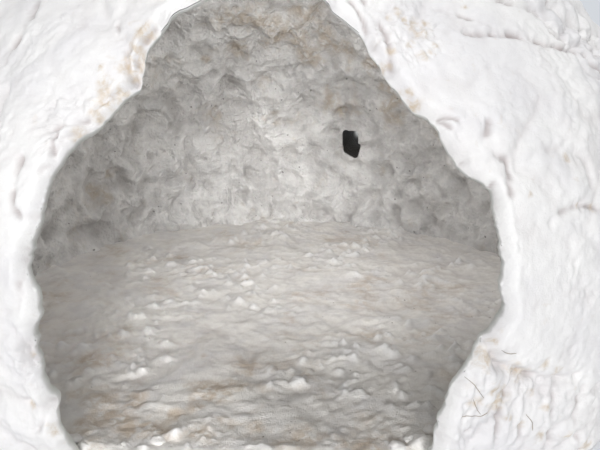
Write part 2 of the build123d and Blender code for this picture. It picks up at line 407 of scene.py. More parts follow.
# Lumps as plain data: borders in climb and azimuth, and which border is the mouth's edge
def listLumps():
    lumps = []
    for name, course in courses.items():
        start = course["first"]
        for number, lump in enumerate(course["lumps"]):
            jamb, keystone = lump.endswith("jamb"), lump == "keystone"
            width = course["width"] * (course["jambPart"] if jamb else 1)
            if number == 0:
                width = course.get("firstWidth", width)
            lip = "point" if keystone else None
            if jamb:
                lip = "left" if number else "right"
            turn = 360 if start > 180 else 0
            lap = jointLap / cos(radians(course["middle"]))
            lumps.append({
                "node": "arch_keystone" if keystone else name + "_" + lump,
                "low": course["low"] - jointLap, "high": course["high"] + jointLap,
                "lowInside": course.get("lowInside", course["low"]) - jointLap,
                "start": start - turn - lap, "end": start + width - turn + lap, "middle": start + width / 2,
                "ballClimb": course["middle"], "number": number, "lip": lip, "ground": name == "base",
            })
            start += width
    return lumps


lumps = listLumps()


# Middles of the balls that round the lumps, from the joint centre
def ballCentres():
    centres = []
    outer = np.array([0, 0, dome["outerCentre"] - dome["jointCentre"]])
    for lump in lumps:
        way = waysOf(lump["ballClimb"], lump["middle"])
        surface = way * reachTo(way[None], outer, outerRadius)[0]
        outward = (surface - outer) / np.linalg.norm(surface - outer)
        proud = dome["lumpProud"] + dome["lumpUneven"] * cos(radians(120 * lump["number"]))
        centres.append(surface + outward * (proud - dome["lumpBall"]))
    top = dome["outerCentre"] + outerRadius + dome["lumpProud"] - dome["lumpBall"] - dome["jointCentre"]
    return np.array(centres + [np.array([0, 0, top])])


ballMiddles = ballCentres()

# Relief of the snow, each as bump size and depth in metres
outsideRelief = {
    "swell": (0.46, 0.015),
    "pillow": (0.2, 0.01),
    "packing": (0.095, 0.009),
    "dents": (0.045, 0.0045),
    "crumbs": (0.021, 0.0027),
    "behind": (35, 80),  # azimuths between which the snow turns rougher
    "farSwell": (0.16, 0.013),  # there only
    "uneven": 0.05,  # how far the joints stray there
    "jointDepth": 0.017,
    "jointGap": 0.0045,
    "frontJoints": 0.45,  # part of that depth by the mouth, and behind
    "farJoints": 1.3,
    "blend": 0.006,
}
insideRelief = {
    "bowls": (0.15, 0.036),
    "scoop": (0.24, 0.036),
    "packing": (0.12, 0.028),
    "dents": (0.075, 0.016),
    "streaks": (0.05, 0.01),
    "crumbs": (0.034, 0.0075),
}


# Outside of the snow: joined lumps, worn and hand-packed; gives points and how deep in a crease or hollow
# each is, which the material paints as shade with some dirt
def outsideSnow(climb, azimuth, nearMouth):
    relief = outsideRelief
    ways = waysOf(climb, azimuth)
    behind = smoothStep(*relief["behind"], np.abs(azimuth))
    uneven = relief["uneven"] * behind[:, None]
    bent = ways + uneven * (bentBy(ways, 0.22, 1, 91) - ways)
    bent = unit(bent + 0.5 * uneven * (bentBy(ways, 0.09, 1, 94) - ways))
    along = bent @ ballMiddles.T
    reaches = along + np.sqrt(dome["lumpBall"]**2 - (ballMiddles**2).sum(1) + along**2)
    reaches = np.partition(reaches, -2, axis=1)
    reach, gap = reaches[:, -1], reaches[:, -1] - reaches[:, -2]
    blend = relief["blend"]
    reach = reach + blend * np.log1p(np.exp(-gap / blend))
    spots = ways * reach[:, None]
    size, depth = relief["swell"]
    reach += depth * (noiseAt(spots, size, 11) - 0.3)
    size, depth = relief["farSwell"]
    reach += depth * behind * (layeredNoise(bentBy(spots, 0.2, 0.06, 97), size, 3, 10) - 0.5)
    size, depth = relief["pillow"]
    pillow = np.minimum(np.abs(noiseAt(bentBy(spots, 0.22, 0.05, 21), size, 12)) * 2.4, 1)
    worked = smoothStep(-0.1, 0.5, noiseAt(spots, 0.42, 13))
    reach -= depth * (1 - pillow) ** 2 * (0.15 + 0.85 * worked)
    size, depth = relief["packing"]
    packing = layeredNoise(bentBy(spots, 0.1, 0.02, 24), size, 3, 14)
    reach += depth * packing * (0.55 + 0.45 * worked + 0.5 * behind)
    size, depth = relief["dents"]
    dents = smoothStep(0.15, 0.7, noiseAt(bentBy(spots, 0.06, 0.02, 27), size, 19))
    dents = dents * smoothStep(-0.2, 0.4, noiseAt(spots, 0.3, 20))
    reach -= depth * dents * (1 + behind)
    size, depth = relief["crumbs"]
    rough = 0.3 + 1.2 * smoothStep(0, 0.5, noiseAt(spots, 0.16, 15))
    crumbs = layeredNoise(spots, size, 2, 16)
    reach += depth * rough * crumbs
    kept = smoothStep(-0.4 + 0.2 * behind, 0.35 + 0.2 * behind, layeredNoise(spots, 0.24, 3, 17))
    gapWidth = relief["jointGap"] * (1 + behind * (1.0 + 1.2 * noiseAt(spots, 0.12, 98)))
    joint = np.exp(-((gap / gapWidth) ** 2)) * kept
    joint *= relief["frontJoints"] + (relief["farJoints"] - relief["frontJoints"]) * behind
    reach -= relief["jointDepth"] * joint
    # Painted shade with some dirt: joints, pillow valleys, packing troughs and dents are darkened
    hollow = np.maximum(0.55 * joint, 0.4 * (1 - pillow) ** 6 * worked)
    hollow = np.maximum(hollow, 0.25 * smoothStep(0.25, 1.0, -packing) + 0.12 * dents)
    for number, (place, middle) in enumerate(zip(roughPlaces, roughWays)):
        spread, size, depth, shade, upright = place[2:]
        near = smoothStep(spread, spread * 0.4, lengthOf(ways - middle) * outerRadius)
        here = near > 0
        if not here.any():
            continue
        bent = bentBy(spots[here], size * 1.5, size * 0.5, 90 + number) * [1, 1, upright]
        crack = 1 - np.minimum(np.abs(layeredNoise(bent, size, 3, 100 + number)) * 2, 1)
        reach[here] -= depth * near[here] * (crack**1.5 - 0.2)
        # Painted shade in the cracks
        hollow[here] = np.maximum(hollow[here], shade * near[here] * crack**5)
    if nearMouth:
        broken = 0.45 + 0.75 * smoothStep(-0.4, 0.4, layeredNoise(spots, 0.045, 2, 34))
        for (depth, halfWidth, shade, _), line in zip(creases, creaseWays):
            away = distanceTo(ways, line, outerRadius) * (1 + 0.3 * crumbs)
            groove = np.exp(-((away / (halfWidth / 1000)) ** 2)) * broken
            reach -= depth / 1000 * groove
            # Painted shade along the crease
            hollow = np.maximum(hollow, shade * groove**2)
        toLip = distanceTo(ways, lipWays, outerRadius)
        reach -= rollDrop(toLip, mouth["roll"] * (1 + 0.35 * noiseAt(spots, 0.2, 18)))
    return jointCentre + ways * reach[:, None], hollow


# Stains, soft-edged spots with ragged rims, placed as the camera shows them
def stainAt(points, ways, inside):
    stain = np.zeros(len(points))
    wobble = 1 + 0.6 * layeredNoise(points, 0.06 if inside else 0.02, 2, 31)
    radius = roomRadius if inside else outerRadius
    for spot, (_, _, size) in zip(roomStainWays if inside else stainWays, roomStains if inside else stains):
        away = lengthOf(ways - spot) * radius
        stain = np.maximum(stain, 1 - smoothStep(0.2, 2.0, away * wobble / (size / 1000)))
    return stain


# Inside of the room: scooped out with hands and shovel, with upright strokes; gives points and how deep in a
# recess each is, which the material paints as shade with some dirt
def insideSnow(climb, azimuth, nearMouth):
    relief = insideRelief
    ways = waysOf(climb, azimuth)
    reach = reachTo(ways, np.array([0, 0, dome["roomCentre"] - dome["jointCentre"]]), roomRadius)
    spots = ways * reach[:, None]
    bent = bentBy(spots, 0.2, 0.06, 41)
    size, depth = relief["scoop"]
    scoop = np.minimum(np.abs(noiseAt(bent, size, 44)) * 2, 1)
    reach += depth * (scoop - 0.6)
    size, depth = relief["bowls"]
    bowls = bowlsAt(bentBy(spots, 0.09, 0.035, 64) * [1, 1, 0.8], size, 67)
    reach += depth * (0.5 - bowls)
    size, depth = relief["packing"]
    packing = layeredNoise(bent, size, 3, 45)
    reach += depth * packing
    size, depth = relief["dents"]
    dents = smoothStep(0.1, 0.7, noiseAt(bentBy(spots, 0.09, 0.03, 54), size, 57))
    reach += depth * dents
    size, depth = relief["streaks"]
    streaks = noiseAt(bent * [1, 1, 0.18], size, 46)
    reach += depth * streaks
    size, depth = relief["crumbs"]
    rough = 0.4 + smoothStep(-0.1, 0.5, noiseAt(spots, 0.13, 47))
    crumbs = layeredNoise(spots, size, 2, 48)
    reach += depth * rough * crumbs
    # Painted shade with some dirt: the recesses of the scoops, bowls, packing and dents are darkened
    hollow = np.maximum(smoothStep(0.6, 1.0, scoop) * 0.4, smoothStep(0.0, 0.7, packing) * 0.7 + 0.5 * dents)
    hollow = np.maximum(hollow, 0.6 * smoothStep(0.4, 0.1, bowls))
    hollow = np.clip(hollow + 0.16 * smoothStep(0, 0.8, crumbs) + 0.12 * streaks, 0, 1)
    if nearMouth:
        reach += rollDrop(distanceTo(ways, roomLipWays, roomRadius), mouth["roomRoll"])
    return jointCentre + ways * reach[:, None], hollow


# Meshes

# Fills the space between four border lines; u and v say how far along each row and column is
def fillBorders(bottom, top, left, right, u, v):
    u, v = u[None, :, None], v[:, None, None]
    across = (1 - v) * bottom[None] + v * top[None]
    up = (1 - u) * left[:, None] + u * right[:, None]
    corners = ((1 - u) * (1 - v) * bottom[0] + u * (1 - v) * bottom[-1]
               + (1 - u) * v * top[0] + u * v * top[-1])
    return across + up - corners


# Climb and azimuth of a lump's grid, outside or inside
def lumpAngles(lump, u, v, inside):
    low = lump["lowInside"] if inside else lump["low"]
    climbs = low + (lump["high"] - low) * v
    azimuths = lump["start"] + (lump["end"] - lump["start"]) * u
    left, right = (np.stack([climbs, np.full_like(climbs, lump[end])], -1) for end in ("start", "end"))
    lipOf = roomLipAzimuth if inside else lipAzimuth
    if lump["lip"] == "right":
        left[:, 1] = lipOf("right", climbs)
    if lump["lip"] == "left":
        right[:, 1] = lipOf("left", climbs)
    bottom, top = (np.stack([np.full_like(u, climb), left[row, 1] + (right[row, 1] - left[row, 1]) * u], -1)
                   for climb, row in ((low, 0), (lump["high"], -1)))
    if lump["lip"] == "point":
        bottom = np.stack([np.interp(azimuths, overPoint[:, 1], overPoint[:, 0]), azimuths], -1)
        inLip = (azimuths > archLeft) & (azimuths < archRight)
        bottom[~inLip, 0] = archClimb
        if inside:
            corner = mouth["roomCorner"]
            before, after = azimuths <= archLeft, azimuths >= archRight
            bottom[inLip] = np.stack(roomPoint(*bottom[inLip].T), -1)
            for part, was, goes in ((before, [lump["start"], archLeft], [lump["start"], -corner]),
                                    (after, [archRight, lump["end"]], [corner, lump["end"]])):
                bottom[part, 1] = np.interp(azimuths[part], was, goes)
    return fillBorders(bottom, top, left, right, u, v)


# The crown cap's round grid, from a square one
def capAngles(u, v):
    x, y = np.meshgrid(u * 2 - 1, v * 2 - 1)
    roundX, roundY = x * np.sqrt(1 - y * y / 2), y * np.sqrt(1 - x * x / 2)
    edge = courses["fifth"]["high"]
    climbs = 90 - (90 - edge) * np.hypot(roundX, roundY)
    return np.stack([climbs, np.degrees(np.arctan2(roundX, -roundY))], -1)


# How the joints wander: bump size and degrees, in climb and in azimuth, and between which bounds that grows
wandering = {
    "bumps": ((0.33, 1.6), (0.3, 1.8)),
    "fromMouth": (0.03, 0.22),
    "fromGround": (-10, 2),
    "fromCrown": (90, 76),
}


# Joints wander a little, the same for both lumps that meet there
def wander(angles, lipLine):
    climb = angles[..., 0].ravel()
    ways = waysOf(climb, angles[..., 1].ravel())
    hold = smoothStep(*wandering["fromMouth"], distanceTo(ways, lipLine, 1.4))
    hold *= smoothStep(*wandering["fromGround"], climb)
    hold *= smoothStep(*wandering["fromCrown"], climb)
    bumps = [noiseAt(ways, size, 51 + k) * hold * turn for k, (size, turn) in enumerate(wandering["bumps"])]
    shift = np.stack(bumps, -1).reshape(angles.shape)
    shift[..., 1] /= np.maximum(np.cos(np.radians(angles[..., 0])), 0.3)
    return angles + shift


def gradedSteps(count, power, end):
    t = np.linspace(0, 1, count + 1)
    return 1 - (1 - t) ** power if end else t**power


def resampled(line, count):
    place = np.linspace(0, len(line) - 1, count + 1)
    low = np.minimum(place.astype(int), len(line) - 2)
    part = (place - low)[:, None]
    return line[low] * (1 - part) + line[low + 1] * part


def gridFaces(index, flip):
    quads = np.stack([index[:-1, :-1], index[:-1, 1:], index[1:, 1:], index[1:, :-1]], -1).reshape(-1, 4)
    return quads[:, ::-1] if flip else quads


def gridBorders(grid):
    return [grid[0], grid[:, -1], grid[-1, ::-1], grid[::-1, 0]]


# Faces between two rows of points, where one row may have some times the points of the other
def stitchRows(near, far):
    countNear, countFar = len(near) - 1, len(far) - 1
    if countNear == countFar:
        return [np.stack([near[1:], near[:-1], far[:-1], far[1:]], -1)]
    flip = countNear < countFar
    fine, coarse = (far, near) if flip else (near, far)
    times = (len(fine) - 1) // (len(coarse) - 1)
    half = (times + 1) // 2
    start = np.arange(len(coarse) - 1) * times
    faces = [np.stack([fine[start + half], coarse[:-1], coarse[1:]], -1)]
    for step in range(times):
        tip = coarse[:-1] if step < half else coarse[1:]
        faces.append(np.stack([fine[start + step + 1], fine[start + step], tip], -1))
    return [f[:, ::-1] if flip else f for f in faces]


# Points part of the way from an outside to an inside border, leaving both square to the wall
def ringPoints(outer, inner, t):
    length = lengthOf(outer - inner)[:, None]
    return (outer * (2 * t**3 - 3 * t**2 + 1) + inner * (3 * t**2 - 2 * t**3)
            + unit(jointCentre - outer) * length * (t**3 - 2 * t**2 + t) * 0.8
            + unit(jointCentre - inner) * length * (t**3 - t**2) * 0.8)


def linked(name, data):
    thing = bpy.data.objects.new(name, data)
    bpy.context.scene.collection.objects.link(thing)
    return thing


# Gathers points, what the material reads from them, and faces, and makes one closed mesh
class SnowMesh:
    def __init__(self):
        self.points, self.facing, self.faces, self.smooth, self.count = [], [], [], [], 0
        # Values the material reads: room; the painted shade, with some dirt, of creases and hollows; stains;
        # and dark, which paints the vent's tube near black as painted shade, darkens the grass and marks dirt
        # on the floor
        self.values = {"room": [], "hollow": [], "stain": [], "dark": []}

    def add(self, points, facing=None, **values):
        index = np.arange(self.count, self.count + len(points))
        self.points.append(points)
        self.facing.append(np.zeros_like(points) if facing is None else facing)
        for name, kept in self.values.items():
            kept.append(np.broadcast_to(np.asarray(values.get(name, 0), float), len(points)))
        self.count += len(points)
        return index

    def addFaces(self, groups, smooth):
        self.faces += groups
        self.smooth += [np.full(len(group), smooth) for group in groups]

    def build(self, name):
        points = np.concatenate(self.points)
        points[:, 2] = np.maximum(points[:, 2], 0)
        used = np.unique(np.concatenate([group.ravel() for group in self.faces]))
        renumber = np.full(len(points), -1)
        renumber[used] = np.arange(len(used))
        faces = [face for group in self.faces for face in renumber[group].tolist()]
        mesh = bpy.data.meshes.new(name)
        mesh.from_pydata(points[used].tolist(), [], faces)
        mesh.polygons.foreach_set("use_smooth", np.concatenate(self.smooth))
        for label, kept in self.values.items():
            layer = mesh.attributes.new(label, "FLOAT", "POINT")
            layer.data.foreach_set("value", np.concatenate(kept)[used].astype(np.float32))
        mesh.update()
        normals = np.zeros(len(used) * 3, np.float32)
        mesh.vertex_normals.foreach_get("vector", normals)
        normals = normals.reshape(-1, 3)
        facing = np.concatenate(self.facing)[used]
        known = (facing**2).sum(1) > 0
        normals[known] = facing[known]
        mesh.normals_split_custom_set_from_vertices(normals.tolist())
        return linked(name, mesh)


# Rings and faces from the outside's border to the inside's, border by border
def wrapEdge(mesh, outside, inside, counts, lipBorders, ringParts, flat=(), dark=0):
    rings, outer = [outside[0]], outside[1]
    for part in ringParts:
        bulge = sin(part * np.pi)
        rows = []
        for border, count in enumerate(counts):
            if border in lipBorders and part < ringParts[-1]:
                count = len(outer[border]) - 1
            row = ringPoints(resampled(outer[border], count), resampled(inside[1][border], count), part)
            if border in lipBorders:
                row = row + noiseTriples(row, 0.09, 61) * 0.012 * bulge
            if border in flat:
                row[:, 2] = 0
            rows.append(row)
        for border in lipBorders:
            rows[border - 1][-1] = rows[border][0]
            rows[(border + 1) % 4][0] = rows[border][-1]
        # Painted shade: a tube given dark is painted near black from just inside its outer end, as the
        # darkness of a deep hole
        deep = dark * smoothStep(0.03, 0.25, part)
        # Painted shade: the rings darken a little towards the middle of the wall
        starts = [mesh.add(row[:-1], room=part, hollow=0.15 * bulge, dark=deep) for row in rows]
        rings.append([np.append(starts[b], starts[(b + 1) % 4][0]) for b in range(4)])
    rings.append(inside[0])
    for near, far in zip(rings, rings[1:]):
        for border in range(4):
            mesh.addFaces(stitchRows(near[border], far[border]), border in lipBorders)


# One more row and column on every side, going on as the last two do
def widened(grid):
    grid = np.concatenate([2 * grid[:1] - grid[1:2], grid, 2 * grid[-1:] - grid[-2:-1]])
    return np.concatenate([2 * grid[:, :1] - grid[:, 1:2], grid, 2 * grid[:, -1:] - grid[:, -2:-1]], 1)


# Outside or inside sheet of a lump: its points, and along its borders the true normals,
# so that the shading runs on from lump to lump. A list given as hole takes up the vent's borders
def addSheet(mesh, angles, inside, nearMouth, lipBorders, ground=False, hole=None):
    rows, columns = angles.shape[:2]
    wide = wander(widened(angles), roomLipWays if inside else lipWays)
    if hole is not None:
        low, high, start, end = openVent(wide, inside)
    climb, azimuth = wide[..., 0].ravel(), wide[..., 1].ravel()
    points, hollow = (insideSnow if inside else outsideSnow)(climb, azimuth, nearMouth)
    stain = np.zeros(len(points))
    if nearMouth or inside:
        stain = stainAt(points, waysOf(climb, azimuth), inside)
    points = points.reshape(rows + 2, columns + 2, 3)
    middle = points[1:-1, 1:-1]
    before, after, below = points[1:-1, :-2].copy(), points[1:-1, 2:].copy(), points[:-2, 1:-1].copy()
    if 3 in lipBorders:
        before[:, 0] = middle[:, 0]
    if 1 in lipBorders:
        after[:, -1] = middle[:, -1]
    if 0 in lipBorders:
        below[0] = middle[0]
    normals = unit(np.cross(after - before, points[2:, 1:-1] - below)) * (-1 if inside else 1)
    normals[1:-1, 1:-1] = 0
    if ground:
        middle[0, :, 2] = 0
    hollow, stain = (value.reshape(rows + 2, columns + 2)[1:-1, 1:-1].ravel() for value in (hollow, stain))
    values = {"room": float(inside), "hollow": hollow, "stain": stain}
    index = mesh.add(middle.reshape(-1, 3), normals.reshape(-1, 3), **values).reshape(rows, columns)
    faces = gridFaces(index, inside)
    if hole is not None:
        kept = np.ones((rows - 1, columns - 1), bool)
        kept[low:high, start:end] = False
        faces = faces[kept.ravel()]
        block = np.s_[low:high + 1, start:end + 1]
        hole.append([[line[::-1] for line in gridBorders(grid[block])[::-1]] for grid in (index, middle)])
    mesh.addFaces([faces], True)
    return gridBorders(index), gridBorders(middle)


# Vent through the back wall, a ragged slot that climbs outwards: climb and size outside, then inside
vent = {
    "node": "second_back_right",
    "azimuth": 160.7,
    "climb": (15.3, 14.6),
    "size": ((0.084, 0.152), (0.106, 0.158)),
    "squareness": 4.2,
    "lean": 0.12,
    "ragged": 0.02,
    "cells": (12, 20),
    "fade": 6,  # cells round the outline that give way too, less and less
}


# Bends a grid round the vent's outline and gives the block of cells inside it
def openVent(angles, inside):
    across, up = vent["cells"]
    climb, (width, height) = vent["climb"][inside], vent["size"][inside]
    spread = roomRadius if inside else outerRadius
    square = vent["squareness"]
    row = np.abs(angles[:, angles.shape[1] // 2, 0] - climb).argmin()
    column = np.abs(angles[row, :, 1] - vent["azimuth"]).argmin()
    low, start = row - up // 2, column - across // 2
    shift = np.zeros((up + 1, across + 1, 2))
    for j, i in np.ndindex(up + 1, across + 1):
        if 0 < j < up and 0 < i < across:
            continue
        p, q = 2 * i / across - 1, 2 * j / up - 1
        pull = (abs(p) ** square + abs(q) ** square) ** (-1 / square)
        pull *= 1 + vent["ragged"] * (sin(4 * p + 3 * q) + sin(6 * q - 2 * p))
        x, y = p * pull * width / 2, q * pull * height / 2 + p * pull * width / 2 * vent["lean"]
        shift[j, i] = (climb + np.degrees(y / spread) - angles[low + j, start + i, 0],
                       vent["azimuth"] + np.degrees(x / spread) / cos(radians(climb))
                       - angles[low + j, start + i, 1])
    j, i = np.meshgrid(np.arange(angles.shape[0]) - low, np.arange(angles.shape[1]) - start, indexing="ij")
    nearJ, nearI = np.clip(j, 0, up), np.clip(i, 0, across)
    away = np.maximum(np.abs(j - nearJ), np.abs(i - nearI))
    angles += np.clip(1 - away / (vent["fade"] + 1), 0, 1)[..., None] * shift[nearJ, nearI]
    return low - 1, low - 1 + up, start - 1, start - 1 + across


# Faces of a tube or ball from its rings of points, and round a tip at either end
def closeTube(mesh, rings, tips):
    closed = np.concatenate([rings, rings[:, :1]], 1)
    mesh.addFaces([gridFaces(closed, False)], True)
    for tip, row in ((tips[0], closed[0][::-1]), (tips[1], closed[-1])):
        mesh.addFaces([np.stack([row[:-1], row[1:], np.full(len(row) - 1, tip)], -1)], True)


# Dry grass caught in the foot right of the mouth, as pixel lines
grass = {
    "node": "base_right_jamb",
    "lines": [[(474, 384), (480, 389), (485, 397), (490, 403)],
              [(470, 427), (478, 424), (486, 424), (495, 419)],
              [(481, 406), (483, 414), (488, 421)],
              [(505, 352), (511, 356), (520, 355)],
              [(535, 421), (540, 428), (541, 437)]],
    "halfWidth": 0.001,
    "lift": 0.0007,
    "sides": 5,
    "parts": 14,
    # The blades take the crease shade, stain and vent colours, in full or in part, for their own dark brown
    "values": {"stain": 1, "hollow": 1, "dark": 0.3},
}


# Each blade is a thin closed tube that lies on the snow, pointed at both ends
def addGrass(mesh):
    for line in grass["lines"]:
        spots = resampled(softened(pixelsOnDome(line)), grass["parts"])
        middle = outsideSnow(spots[:, 0], spots[:, 1], True)[0]
        outward = unit(middle - jointCentre)
        middle = middle + outward * grass["lift"]
        side = unit(np.cross(np.gradient(middle, axis=0), outward))
        thick = grass["halfWidth"] * np.sin(np.linspace(0.12, 3.0, len(middle))) ** 0.5
        turns = (np.arange(grass["sides"]) * 2 * np.pi / grass["sides"])[None, :, None]
        ring = np.cos(turns) * side[:, None] + np.sin(turns) * outward[:, None]
        points = middle[:, None] + ring * thick[:, None, None]
        rings = mesh.add(points.reshape(-1, 3), **grass["values"]).reshape(points.shape[:2])
        closeTube(mesh, rings, mesh.add(middle[[0, -1]], **grass["values"]))


# Grid sizes in metres, for lumps near the mouth and for the rest
detail = {
    "frontOutside": 0.0046, "frontInside": 0.0184, "far": 0.0122, "ventLump": 0.0094,
    "radius": 1.43,  # where the grid sizes hold
    "capCells": 58,
    "seenAzimuth": 112,  # the wall behind this is seen through the mouth, its inside is twice as fine
    "seenClimb": 60,
    "frontLumps": ["base_right_jamb", "second_right_jamb", "third_right_jamb", "base_left_jamb",
                   "second_left_jamb", "third_left_jamb", "arch_keystone", "second_right_front",
                   "third_right_front"],
    "nearLumps": ["base_right_front", "fourth_right_front", "fourth_left_front"],
}


# How far through the wall each ring of points is, at the mouth and in the joints
lipRings = [0.03, 0.07, 0.12, 0.19, 0.27, 0.36, 0.46, 0.56, 0.66, 0.76, 0.85, 0.93]
jointRings = [0.33, 0.67]


def packedPiece(mesh, node):
    piece = mesh.build(node + "_snow")
    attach(piece, "root")
    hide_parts(node)
    return piece


def snowLump(lump):
    node, lip, ground = lump["node"], lump["lip"], lump["ground"]
    front = node in detail["frontLumps"]
    nearMouth = front or node in detail["nearLumps"]
    coarse, hole = detail["frontInside" if front else "far"], None
    if node == vent["node"]:
        coarse, hole = detail["ventLump"], []
    times = round(coarse / detail["frontOutside"]) if front else 1
    azimuth = abs(lump["middle"] - 360 * (lump["middle"] > 180))
    seen = azimuth > detail["seenAzimuth"] and lump["high"] < detail["seenClimb"] and hole is None
    middle = cos(radians((lump["low"] + lump["high"]) / 2))
    countU = round(radians(lump["end"] - lump["start"]) * detail["radius"] * middle / coarse)
    countV = round(radians(lump["high"] - lump["low"]) * detail["radius"] / coarse)
    lipBorders = {"right": [3], "left": [1], "point": [0], None: []}[lip]
    mesh, borders = SnowMesh(), []
    for inside, scale in ((False, times), (True, 2 if seen else 1)):
        u, v = (np.linspace(0, 1, count * scale + 1) for count in (countU, countV))
        if lip in ("left", "right"):
            u = gradedSteps(countU * scale, 1.5, lip == "left")
        if lip == "point":
            v = gradedSteps(countV * scale, 1.4, False)
        angles = lumpAngles(lump, u, v, inside)
        borders.append(addSheet(mesh, angles, inside, nearMouth, lipBorders, ground, hole))
    rings = lipRings if lipBorders else jointRings
    wrapEdge(mesh, *borders, [countU, countV] * 2, lipBorders, rings, [0] if ground else [])
    if hole:
        # The vent's tube is painted near black: painted shade
        wrapEdge(mesh, *hole, vent["cells"][::-1] * 2, [0, 1, 2, 3], lipRings, dark=1)
    if node == grass["node"]:
        addGrass(mesh)
    return packedPiece(mesh, node)


def crownCap():
    count, mesh = detail["capCells"], SnowMesh()
    steps = np.linspace(0, 1, count + 1)
    borders = [addSheet(mesh, capAngles(steps, steps), inside, False, []) for inside in (False, True)]
    wrapEdge(mesh, *borders, [count] * 4, [], jointRings)
    return packedPiece(mesh, "crown_cap")


snowPieces = [snowLump(lump) for lump in lumps]
print("lumps made")
snowPieces.append(crownCap())

# Trampled floor: from the line of the mouth back into the foot of the wall
trampledFloor = {
    "top": 0.05,
    "front": -1.395,
    "back": 1.15,
    "widens": (-1.33, -0.62),  # from the threshold back to the wall, with these sides
    "left": (-0.56, -0.98),
    "right": (0.47, 0.98),
    "intoWall": 0.03,
    "narrowest": 0.09,
    "tread": (0.17, 0.012),
    "clods": (0.055, 0.018),
    "lumps": (0.034, 0.0065),
    "crumbs": (0.019, 0.003),
    "edge": 0.014,  # height at the worn front edge
    "edgeReach": 0.16,
    "frontReach": 0.3,  # how far back the front edge is ragged
    "rows": 70,
    "columns": 56,
    "times": 4,
}

# Loose crumbs of snow on the floor: pixel place and size in millimetres
looseCrumbs = [
    (422, 441, 34), (438, 445, 28), (431, 431, 22), (411, 438, 18), (444, 431, 16), (156, 439, 20),
    (72, 436, 26), (83, 443, 18), (397, 445, 20),
]


# A crumb is a small lumpy ball, flattened where it rests
def addCrumb(mesh, middle, size, seed):
    rings, turns = 9, 15
    climbs, azimuths = np.linspace(-80, 80, rings), np.linspace(0, 360, turns, endpoint=False)
    climbs, azimuths = np.meshgrid(climbs, azimuths, indexing="ij")
    ways = np.concatenate([waysOf(climbs.ravel(), azimuths.ravel()), [[0, 0, -1], [0, 0, 1]]])
    lumpy = size * (0.9 + 0.4 * layeredNoise(ways, 1.1, 2, seed))
    index = mesh.add(middle + ways * lumpy[:, None] * [1.15, 0.9, 0.6], room=1, stain=0.35)
    closeTube(mesh, index[:-2].reshape(rings, turns), index[-2:])


# Outline of the floor as a grid, worn at the front, and how far each point is from the sides and the front
def floorGrid(scale):
    given, front = trampledFloor, trampledFloor["front"]
    wall = roomRadius**2 - (given["top"] - dome["roomCentre"])**2
    wallReach = np.sqrt(wall) + given["intoWall"]
    y = front + (given["back"] - front) * gradedSteps(given["rows"] * scale, 1.25, False)
    circle = np.sqrt(np.maximum(wallReach**2 - y * y, given["narrowest"]**2))
    left, right = (np.where(y < given["widens"][1], np.interp(y, given["widens"], given[side]), wall)
                   for side, wall in (("left", -circle), ("right", circle)))
    x = left[:, None] + (right - left)[:, None] * np.linspace(0, 1, given["columns"] * scale + 1)
    points = np.stack([x, np.broadcast_to(y[:, None], x.shape), np.zeros_like(x)], -1).reshape(-1, 3)
    fromSide = np.minimum(x - left[:, None], right[:, None] - x).ravel()
    fromFront = points[:, 1] - front
    forward = smoothStep(given["frontReach"], 0, fromFront)
    ragged = layeredNoise(points, 0.13, 3, 81)
    sideways = smoothStep(given["frontReach"], 0, fromSide)
    points[:, 1] += forward * (0.03 + 0.022 * ragged + 0.09 * sideways)
    points[:, 0] *= 1 - forward * (0.07 + 0.05 * ragged)
    return points, x.shape, fromSide, fromFront


# Treads, clods and crumbs of the floor's upper side; gives what the material reads
def treadFloor(points, fromSide, fromFront):
    given, top, edge = trampledFloor, trampledFloor["top"], trampledFloor["edge"]
    size, depth = given["tread"]
    tread = layeredNoise(bentBy(points, 0.2, 0.06, 75), size, 3, 71)
    toEdge = np.where(fromFront < given["frontReach"], np.minimum(fromSide, fromFront), fromFront)
    worn = smoothStep(0, given["edgeReach"], toEdge)
    points[:, 2] = edge + (top - edge) * worn + depth * (tread - 0.4)
    size, depth = given["clods"]
    clods = smoothStep(0.0, 1.0, layeredNoise(bentBy(points, 0.07, 0.02, 78), size, 3, 72)) * 1.3
    clods *= smoothStep(-0.3, 0.3, noiseAt(points, 0.4, 73))
    size, lumpDepth = given["lumps"]
    lumpy = 0.6 - bowlsAt(bentBy(points, 0.05, 0.02, 88), size, 89)
    lumpy *= 0.3 + 0.7 * smoothStep(-0.3, 0.4, noiseAt(points, 0.25, 92))
    size, fineDepth = given["crumbs"]
    crumbs = layeredNoise(bentBy(points, 0.03, 0.01, 84), size, 2, 74)
    points[:, 2] += (depth * clods + lumpDepth * lumpy + fineDepth * crumbs) * (0.5 + 0.5 * worn)
    fresh = smoothStep(0, 0.5, noiseAt(points, 0.3, 93))
    white = np.minimum(clods + 0.5 * smoothStep(0.2, 0.6, lumpy) * fresh, 1)
    dirt = np.zeros(len(points))
    wobble = 1 + 0.7 * layeredNoise(points, 0.07, 3, 87)
    for place, (_, _, size) in zip(pixelsOnFloor([spot[:2] for spot in floorStains], top), floorStains):
        away = lengthOf(points[:, :2] - place[:2])
        dirt = np.maximum(dirt, 1 - smoothStep(0.2, 1.6, away * wobble / (size / 1000)))
    # Painted shade with some dirt: the floor darkens in the troughs of treads, crumbs and lumps, but not on
    # white clods
    hollow = 0.45 * smoothStep(0.1, -0.8, tread) + 0.35 * smoothStep(0.1, -0.8, crumbs)
    hollow = np.clip(hollow + 0.5 * smoothStep(0.1, -0.4, lumpy), 0, 1) * (1 - white)
    return {"hollow": hollow, "stain": white, "dark": dirt}


